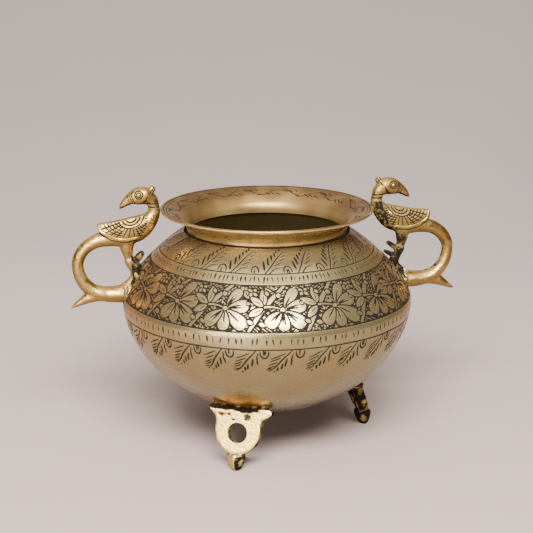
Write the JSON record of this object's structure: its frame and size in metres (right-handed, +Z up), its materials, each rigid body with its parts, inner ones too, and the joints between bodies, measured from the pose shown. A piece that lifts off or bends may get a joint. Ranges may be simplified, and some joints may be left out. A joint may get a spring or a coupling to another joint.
{
  "type": "footed urli bowl",
  "caption": "Squat round-bellied brass bowl with a flared collar, cast peacock loop handles and pierced feet, for floating flowers, water or serving.",
  "frame": {"origin": "on the ground under the bowl's axis, at the centre of the footprint", "axes": "+Z up along the bowl's axis, +X towards the right handle, so the handles stand in the XZ plane"},
  "size_m": [0.2438, 0.18, 0.164],
  "materials": {
    "turned_brass": "brushed, engraved and darkened in its lines",
    "cast_brass": "cast, polished on its high places and blackened in its hollows",
    "braze": "rough and oxidised"
  },
  "bodies": {
    "root": {"lower_bowl": "turned_brass", "shoulder_shell": "turned_brass", "rim_collar": "turned_brass", "foot_front_left": "cast_brass", "foot_right": "cast_brass", "foot_rear_left": "cast_brass", "foot_braze_front_left": "braze", "foot_braze_right": "braze", "foot_braze_rear_left": "braze", "left_peacock_handle": "cast_brass", "right_peacock_handle": "cast_brass", "left_tail_braze": "braze", "right_tail_braze": "braze", "left_perch_braze": "braze", "right_perch_braze": "braze"}
  },
  "joints": []
}
